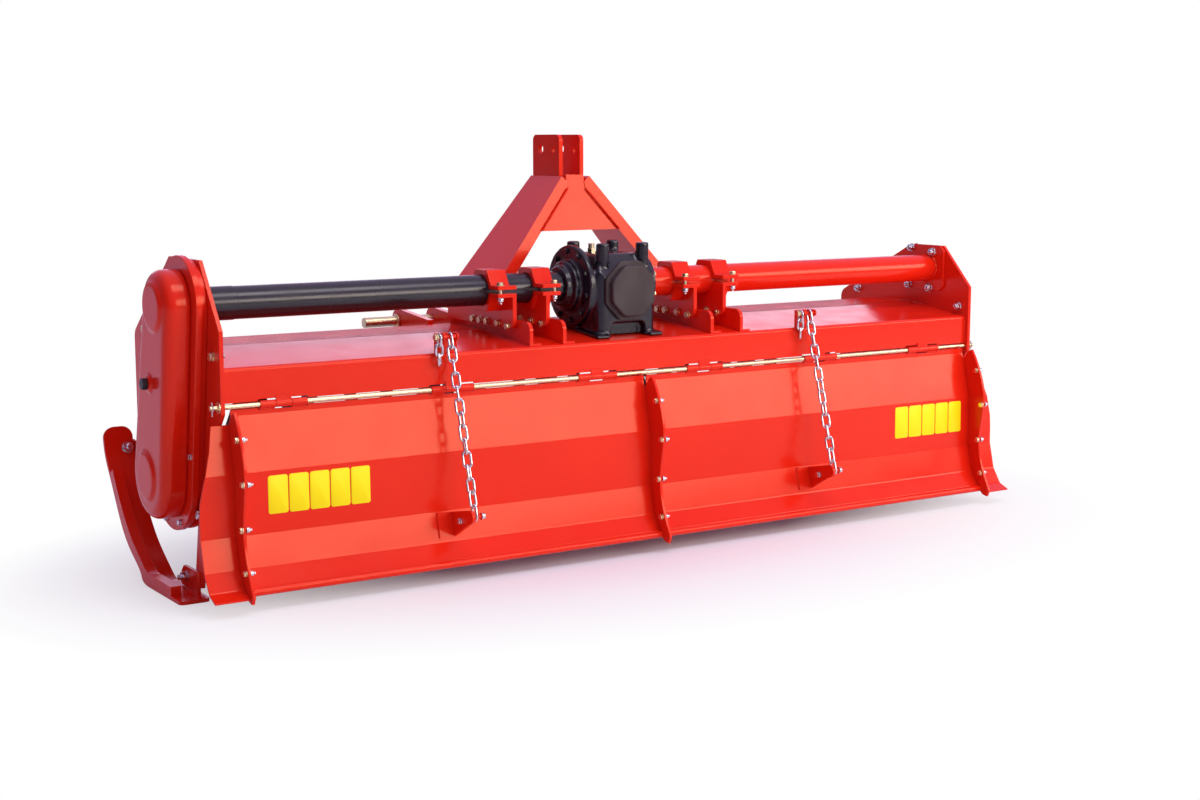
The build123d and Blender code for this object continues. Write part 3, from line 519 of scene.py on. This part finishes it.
run_depth = EYE_POINT[0] - HOOK_POINT[0]
run_height = EYE_POINT[1] - HOOK_POINT[1]
chain_len = math.hypot(run_depth, run_height)
link_pitch = (chain_len + 2 * CHAIN_PIN_R + LINK_GAP) / (2 * LINKS_IN_HALF)
link_inside = link_pitch + LINK_GAP
first_link = link_inside / 2 - CHAIN_PIN_R - LINK_GAP
chain_dir = Vector((0, run_depth / chain_len, run_height / chain_len))
chain_side = Vector((0, -chain_dir.z, chain_dir.y))


def half_chain(x, first, turns, word, body):
    """Half of a chain, from the link with number first on."""
    mesh_data = bmesh.new()
    start = at(x, *HOOK_POINT)
    for step, turn in enumerate(turns):
        place = first_link + (first + step) * link_pitch
        swing = math.radians(turn)
        across = chain_side * math.cos(swing) + Vector((1, 0, 0)) * math.sin(swing)
        centre = start + chain_dir * place * MM
        outline = stadium(
            centre,
            chain_dir,
            across,
            (link_inside + LINK_WIRE) / 2,
            (LINK_INNER_W + LINK_WIRE) / 2,
        )
        tube_along(mesh_data, outline, LINK_WIRE / 2, 12, True)
    obj = piece("links_" + word, mesh_data, ZINC, body, 60)
    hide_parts(word)


UPPER_TURNS = (0, 105, 210, 315, 390, 465, 540)
LOWER_TURNS = tuple(90 + 105 * step for step in range(LINKS_IN_HALF))
for side, word in ((-1, "left"), (1, "right")):
    half_chain(side * CHAIN_X, 0, UPPER_TURNS, "chain_upper_" + word, word + "_chain_upper")
    half_chain(
        side * CHAIN_X, LINKS_IN_HALF, LOWER_TURNS, "chain_lower_" + word, word + "_chain_lower"
    )

# Fasteners
# Sizes of bolts are their threads' diameters, and the number after a size is the head's turn
LEFT = Vector((-1, 0, 0))
RIGHT = Vector((1, 0, 0))
UP = Vector((0, 0, 1))
DOWN = Vector((0, 0, -1))

# Along the ribs: heads on the left face, nuts on the right one
RIB_BOLTS = [(-58, -68), (-84, -166), (-72, -271), (-86, -368)]
for x in RIB_X:
    for i, (depth, height) in enumerate(RIB_BOLTS):
        turn = 0.5 * i + x
        bolt_head("rear_board", "yellow_zinc", at(x - RIB_T / 2, depth, height), LEFT, 8, turn)
        nut("rear_board", "bright_zinc", at(x + RIB_T / 2, depth, height), RIGHT, 8, turn, 6)

# Through the right plate into the tube's end plate, and along the deck
END_PLATE_BOLTS = [(223, 278), (132, 269), (231, 167), (142, 161)]
END_PLATE_T = 8
for depth, height in END_PLATE_BOLTS:
    nut("frame", "bright_zinc", at(RIGHT_IN - END_PLATE_T, depth, height), LEFT, 12, depth, 5)
    bolt_head("frame", "yellow_zinc", at(RIGHT_OUT, depth, height), RIGHT, 12, depth)
DECK_BOLTS = [(27, 114), (467, 139)]
for depth, height in DECK_BOLTS:
    nut("frame", "bright_zinc", at(RIGHT_IN, depth, height), LEFT, 12, depth, 6)
    bolt_head("frame", "yellow_zinc", at(RIGHT_OUT, depth, height), RIGHT, 12, depth)
    nut("frame", "bright_zinc", at(LEFT_IN, depth, height), RIGHT, 12, depth, 6)
    bolt_head("frame", "yellow_zinc", at(LEFT_OUT, depth, height), LEFT, 12, depth)

# Clamp plates: a row of heads on the left faces and nuts on the rails' right faces
CLAMP_BOLTS = [(92, 132), (140, 136), (196, 137), (232, 137), (268, 138)]
CLAMP_LEFT_FACE = 6
RAIL_RIGHT_FACE = 16
for x in CLAMP_X:
    for depth, height in CLAMP_BOLTS:
        left_face = at(x - CLAMP_LEFT_FACE, depth, height)
        right_face = at(x + RAIL_RIGHT_FACE, depth, height)
        bolt_head("frame", "yellow_zinc", left_face, LEFT, 10, depth + x)
        nut("frame", "bright_zinc", right_face, RIGHT, 10, depth, 5)

# Clamp straps: an upright bolt at each end
STRAP_BOLT_REACH = 76
STRAP_BOLT_SHIFT = 14
STRAP_EAR_FACE = 15
for x, plate_x in zip(STRAP_X, CLAMP_X):
    side = -1 if plate_x > x else 1
    for depth in (TUBE_DEPTH - STRAP_BOLT_REACH, TUBE_DEPTH + STRAP_BOLT_REACH):
        spot = x + side * STRAP_BOLT_SHIFT
        high_face = at(spot, depth, TUBE_HEIGHT + STRAP_EAR_FACE)
        low_face = at(spot, depth, TUBE_HEIGHT - STRAP_EAR_FACE)
        bolt_head("frame", "yellow_zinc", high_face, UP, 10, depth + x)
        nut("frame", "bright_zinc", low_face, DOWN, 10, depth, 6)
        shank = [(0, 5), (10, 5)]
        turned(group("frame", "yellow_zinc"), at(spot, depth, TUBE_HEIGHT - 5), UP, shank, 12)

# Rod ends: washer and cotter
COTTER_STEPS = 14
COTTER_OUT = 15
COTTER_RING_R = 7.4
for x, side in ((LEFT_OUT, -1), (RIGHT_OUT, 1)):
    out = Vector((side, 0, 0))
    end = at(x, 0, 0) + out * 0.5 * MM
    washer(group("frame", "yellow_zinc"), end, out, 14, 2.5)
    ring = []
    for i in range(COTTER_STEPS):
        t = 2 * math.pi * i / COTTER_STEPS
        around = Vector((0, math.cos(t), math.sin(t)))
        ring.append(end + out * COTTER_OUT * MM + around * COTTER_RING_R * MM)
    tube_along(group("frame", "bright_zinc"), ring, 1.4, 8, True)
    legs = [end + out * COTTER_OUT * MM + Vector((0, 0, z * MM)) for z in (-19, -8, 8, 13)]
    tube_along(group("frame", "bright_zinc"), legs, 1.5, 8)

# Skids: nut on the front lug's bolt and on the heel lug
for x, side in ((LEFT_OUT, -1), (RIGHT_OUT, 1)):
    out = Vector((side, 0, 0))
    face_dir = Vector((0, -0.87, 0.36)).normalized()
    nut("frame", "bright_zinc", at(x + side * 24, 566, -168), face_dir, 14, 0.2, 6)
    nut("frame", "bright_zinc", at(x + side * 18, 190, -424), out, 14, 0.4, 8)
    bolt_head("frame", "bright_zinc", at(x + side * 10, 108, -262), out, 12, 0.1)

# Bolts on the gear case's rim: one at the top, the rest at the foot and along the sides
CASE_TOP = Vector((TUBE_DEPTH, TUBE_HEIGHT))
CASE_LOW = Vector((ROTOR_DEPTH, ROTOR_HEIGHT))
CASE_TOP_R = 100
CASE_LOW_R = 120
CASE_FLANGE_FACE = LEFT_OUT - 30
case_run = (CASE_LOW - CASE_TOP).normalized()
case_side = Vector((-case_run.y, case_run.x))


def on_circle(centre, radius, degrees):
    """A point of the side view on a circle."""
    t = math.radians(degrees)
    return centre.x + radius * math.cos(t), centre.y + radius * math.sin(t)


rim_bolts = [on_circle(CASE_TOP, CASE_TOP_R, 20)]
for angle in (245, 290, 335):
    rim_bolts.append(on_circle(CASE_LOW, CASE_LOW_R, angle))
for share, sides in ((0.3, (1,)), (0.55, (1,)), (0.8, (-1, 1))):
    middle = CASE_TOP.lerp(CASE_LOW, share)
    radius = CASE_TOP_R + (CASE_LOW_R - CASE_TOP_R) * share
    for side in sides:
        rim_bolts.append(tuple(middle + case_side * side * radius))
for depth, height in rim_bolts:
    bolt_head("frame", "bright_zinc", at(CASE_FLANGE_FACE, depth, height), LEFT, 8, depth)

# Bolts round the gearbox's left flange and its right flange
FLANGE_BOLTS = [
    (10, 0.35, 90, -114, LEFT, "black_bolt", 8),
    (8, 0.5, 68, 108, RIGHT, "yellow_zinc", 9),
]
for count, shift, radius, x, way, kind, size in FLANGE_BOLTS:
    for i in range(count):
        t = 2 * math.pi * (i + shift) / count
        depth = TUBE_DEPTH + radius * math.cos(t)
        height = TUBE_HEIGHT + radius * math.sin(t)
        bolt_head("frame", kind, at(x, depth, height), way, size, t)

# Weld beads where plates and tubes meet
RAIL_SEAMS = [((16, 90.5), (216, 113.5)), ((232, 114.5), (412, 114.5))]
PLATE_SEAMS = [
    ((2, 88), (220, 113), 2.2),
    ((228, 114), (416, 114), 2.2),
    ((-1, 14), (-1, 84), 2.0),
]
HOOK_HALF_W = 30
HOOK_SEAM_X = 28
HOOK_REAR = 7
BRACKET_BASE_W = 38
for x, radius in ((LEFT_IN, 40), (RIGHT_IN - END_PLATE_T, 39)):
    side = 1 if x < 0 else -1
    ring_weld("frame", at(x + side * 1.5, TUBE_DEPTH, TUBE_HEIGHT), (1, 0, 0), radius + 1, 3)
for x in CLAMP_X:
    for start, end in RAIL_SEAMS:
        weld("frame", at(x + RAIL_RIGHT_FACE, *start), at(x + RAIL_RIGHT_FACE, *end), 2.4)
for x in (LEFT_IN, RIGHT_IN):
    side = 1 if x < 0 else -1
    for start, end, radius in PLATE_SEAMS:
        weld("frame", at(x + side, *start), at(x + side, *end), radius)
for side in (-1, 1):
    for x in (side * (CHAIN_X - HOOK_SEAM_X), side * (CHAIN_X + HOOK_SEAM_X)):
        weld("frame", at(x, HOOK_REAR, 89), at(x, HOOK_REAR, 118), 1.8)
    hook_left = at(side * CHAIN_X - HOOK_HALF_W, HOOK_REAR, 88.5)
    hook_right = at(side * CHAIN_X + HOOK_HALF_W, HOOK_REAR, 88.5)
    weld("frame", hook_left, hook_right, 2.2)
    x = side * CHAIN_X - CHAIN_PIN_HALF
    for dx in (-BRACKET_BASE_W, 0):
        weld("rear_board", at(x + dx, -34.5, -297), at(x + dx, -47, -352), 2.0)
    weld("rear_board", at(x - BRACKET_BASE_W, -38, -296), at(x, -38, -296), 1.8)

# Weld seam on the rear board's bead
BEAD_END_GAP = 6
for left_rib, right_rib in zip(RIB_X, RIB_X[1:]):
    x0 = left_rib + BEAD_END_GAP
    x1 = right_rib - BEAD_END_GAP
    weld("rear_board", at(x0, -79, -405.5), at(x1, -79, -405.5), 1.6, 5)

# Weld seams along the mast's gusset
for side in (-1, 1):
    low = at(side * SEAM_LOW[0], *SEAM_LOW[1:])
    neck = at(side * SEAM_NECK[0], *SEAM_NECK[1:])
    weld("frame", low, neck, 2.4)

# Bolt and spare links at the chain hooks, bolt through the chain brackets
HOOK_SHANK = 14
SPARE_HALF = 15
SPARE_END_R = 9
SPARE_FIRST = 7.7
SPARE_PITCH = 23.4
for side in (-1, 1):
    x = side * CHAIN_X
    cheek_face = x - CHAIN_PIN_HALF - CHEEK_T
    shank = [(0, 4.2), (HOOK_SHANK, 4.2)]
    turned(group("frame", "yellow_zinc"), at(cheek_face, *HOOK_POINT), LEFT, shank, 12)
    bolt_head("frame", "yellow_zinc", at(cheek_face - HOOK_SHANK, *HOOK_POINT), LEFT, 9, 0.4)
    bolt_head("rear_board", "bright_zinc", at(x - CHAIN_PIN_HALF, -84, -311), LEFT, 9, 0.5)
    nut("rear_board", "bright_zinc", at(x + CHAIN_PIN_HALF, *EYE_POINT), RIGHT, 9, 0.5, 0)
    for step, turn in enumerate((0, 90, 40)):
        swing = math.radians(turn)
        drop = SPARE_FIRST + SPARE_PITCH * step
        centre = at(cheek_face - 8, HOOK_POINT[0], HOOK_POINT[1] - drop)
        across = Vector((math.sin(swing), math.cos(swing), 0))
        spare = stadium(centre, UP, across, SPARE_HALF, SPARE_END_R)
        tube_along(group("frame", "bright_zinc"), spare, LINK_WIRE / 2, 10, True)


# Blank plates on the board
def on_board(height):
    """Depth of the board's outer face at a height."""
    for (d0, h0), (d1, h1) in zip(BOARD_PROFILE, BOARD_PROFILE[1:]):
        if h1 <= height <= h0:
            return d0 + (d1 - d0) * (height - h0) / (h1 - h0)
    return BOARD_PROFILE[-1][0]


def blank_plate(name, x, low, high, width, corner, body):
    """A thin rounded plate on a flat face, from one height to another."""
    up = at(x, on_board(high), high) - at(x, on_board(low), low)
    tall = up.length
    up.normalize()
    out = Vector((1, 0, 0)).cross(up)
    if out.y > 0:
        out = -out
    start = at(x, on_board(low), low) + out * 0.3 * MM
    outline = []
    for cx, cz, first in (
        (width - corner, tall / MM - corner, 0),
        (corner, tall / MM - corner, 90),
        (corner, corner, 180),
        (width - corner, corner, 270),
    ):
        for k in range(7):
            t = math.radians(first + 15 * k)
            outline.append((cx + corner * math.cos(t), cz + corner * math.sin(t)))
    data = bmesh.new()
    rings = []
    for inset, rise in ((0, 0), (0, 0.35), (0.3, 0.55)):
        ring = []
        for px, pz in outline:
            sx = px + (inset if px < width / 2 else -inset)
            sz = pz + (inset if pz < tall / MM / 2 else -inset)
            ring.append(start + Vector((sx * MM, 0, 0)) + up * sz * MM + out * rise * MM)
        rings.append(ring)
    add_ring_loft(data, rings)
    return piece(name, data, YELLOW, body, 40)


PLATE_W = 49
PLATE_STEP = 52
PLATE_CORNER = 6
for word, first_x, low, high in (("left", -1045, -250, -161), ("right", 871, -248, -158)):
    for i in range(5):
        x = first_x + i * PLATE_STEP
        name = "plate_" + word + "_" + str(i + 1)
        blank_plate(name, x, low, high, PLATE_W, PLATE_CORNER, "rear_board")

# Groups become pieces
GROUP_STYLE = {
    "yellow_zinc": (YELLOW_ZINC, "yellow_zinc"),
    "bright_zinc": (ZINC, "bright_zinc"),
    "weld": (RED, "red_paint"),
    "black_bolt": (BLACK, "black_paint"),
}
for (body, kind), mesh_data in GROUPS.items():
    material, slot = GROUP_STYLE[kind]
    obj = piece("small_" + kind + "_" + body, mesh_data, material, body, 40)


# Camera, floor, light
def area_light(name, place, target, size, power, color):
    """A rectangular lamp that looks at a point."""
    data = bpy.data.lights.new(name, "AREA")
    data.shape = "RECTANGLE"
    data.size, data.size_y = size
    data.energy = power
    data.color = color
    lamp = bpy.data.objects.new(name, data)
    lamp.location = place
    lamp.rotation_euler = (Vector(target) - Vector(place)).to_track_quat("-Z", "Y").to_euler()
    bpy.context.scene.collection.objects.link(lamp)


camera_data = bpy.data.cameras.new("camera")
camera_data.lens = 54
camera_data.sensor_width = 36
camera = bpy.data.objects.new("camera", camera_data)
camera.location = (-2.629, -4.068, 1.048)
camera.rotation_euler = (math.radians(90 - 8.10), 0, math.radians(-33.33))
bpy.context.scene.collection.objects.link(camera)
bpy.context.scene.camera = camera

floor_data = bmesh.new()
bmesh.ops.create_grid(floor_data, x_segments=1, y_segments=1, size=30)
floor_mesh = bpy.data.meshes.new("floor")
floor_data.to_mesh(floor_mesh)
floor_data.free()
floor = bpy.data.objects.new("floor", floor_mesh)
floor.location = (0, 0, -0.0005)
bpy.context.scene.collection.objects.link(floor)
floor_material, tree, shader = new_material("pale_floor")
shader.inputs["Base Color"].default_value = (0.84, 0.88, 0.87, 1)
shader.inputs["Roughness"].default_value = 0.9
shader.inputs["Specular IOR Level"].default_value = 0.1
where = position(tree)
spread = tree.nodes.new("ShaderNodeVectorMath")
spread.operation = "MULTIPLY"
spread.inputs[1].default_value = (0.62, 1.0, 0.0)
tree.links.new(where, spread.inputs[0])
reach = tree.nodes.new("ShaderNodeVectorMath")
reach.operation = "LENGTH"
tree.links.new(spread.outputs["Vector"], reach.inputs[0])
fade = ramp(tree, reach.outputs["Value"], 0.4, 1.05, 0, 1)
white = tree.nodes.new("ShaderNodeEmission")
white.inputs["Strength"].default_value = 1.0
both = tree.nodes.new("ShaderNodeMixShader")
seen = tree.nodes.new("ShaderNodeLightPath")
part_seen = tree.nodes.new("ShaderNodeMath")
part_seen.operation = "MULTIPLY"
tree.links.new(fade, part_seen.inputs[0])
tree.links.new(seen.outputs["Is Camera Ray"], part_seen.inputs[1])
tree.links.new(part_seen.outputs["Value"], both.inputs["Fac"])
tree.links.new(shader.outputs["BSDF"], both.inputs[1])
tree.links.new(white.outputs["Emission"], both.inputs[2])
tree.links.new(both.outputs["Shader"], tree.nodes["Material Output"].inputs["Surface"])
floor_mesh.materials.append(floor_material)

world = bpy.data.worlds.new("world")
bpy.context.scene.world = world
world.use_nodes = True
tree = world.node_tree
background = tree.nodes["Background"]
sky = tree.nodes.new("ShaderNodeTexCoord")
split = tree.nodes.new("ShaderNodeSeparateXYZ")
tree.links.new(sky.outputs["Generated"], split.inputs["Vector"])
level = tree.nodes.new("ShaderNodeValToRGB")
steps = level.color_ramp.elements
steps[0].position = 0.0
steps[0].color = (0.07, 0.05, 0.045, 1)
steps[1].position = 1.0
steps[1].color = (0.85, 0.7, 1.0, 1)
for place, color in (
    (0.5, (0.1, 0.07, 0.065, 1)),
    (0.53, (0.34, 0.28, 0.34, 1)),
    (0.66, (0.58, 0.44, 0.8, 1)),
):
    steps.new(place).color = color
height = ramp(tree, split.outputs["Z"], -1, 1, 0, 1)
tree.links.new(height, level.inputs["Fac"])
path = tree.nodes.new("ShaderNodeLightPath")
shown = tree.nodes.new("ShaderNodeMix")
shown.data_type = "RGBA"
tree.links.new(path.outputs["Is Camera Ray"], shown.inputs["Factor"])
shade = ramp(tree, split.outputs["X"], -0.98, -0.25, 0.18, 0.9)
dim = tree.nodes.new("ShaderNodeVectorMath")
dim.operation = "SCALE"
tree.links.new(level.outputs["Color"], dim.inputs[0])
tree.links.new(shade, dim.inputs["Scale"])
tree.links.new(dim.outputs["Vector"], shown.inputs["A"])
shown.inputs["B"].default_value = (1, 1, 1, 1)
tree.links.new(shown.outputs["Result"], background.inputs["Color"])
background.inputs["Strength"].default_value = 1.0

area_light("key", (2.8, -4.4, 2.0), (0, 0, 0.25), (6.0, 1.7), 180, (1.0, 0.88, 0.76))
area_light("high", (0.3, -2.2, 4.4), (0, 0, 0.4), (3.0, 1.6), 60, (1.0, 0.95, 0.95))
area_light("rim", (2.2, 5.2, 2.2), (0, 0, 0.6), (7.0, 0.8), 26, (1.0, 0.86, 0.95))

bpy.context.scene.view_settings.view_transform = "Standard"
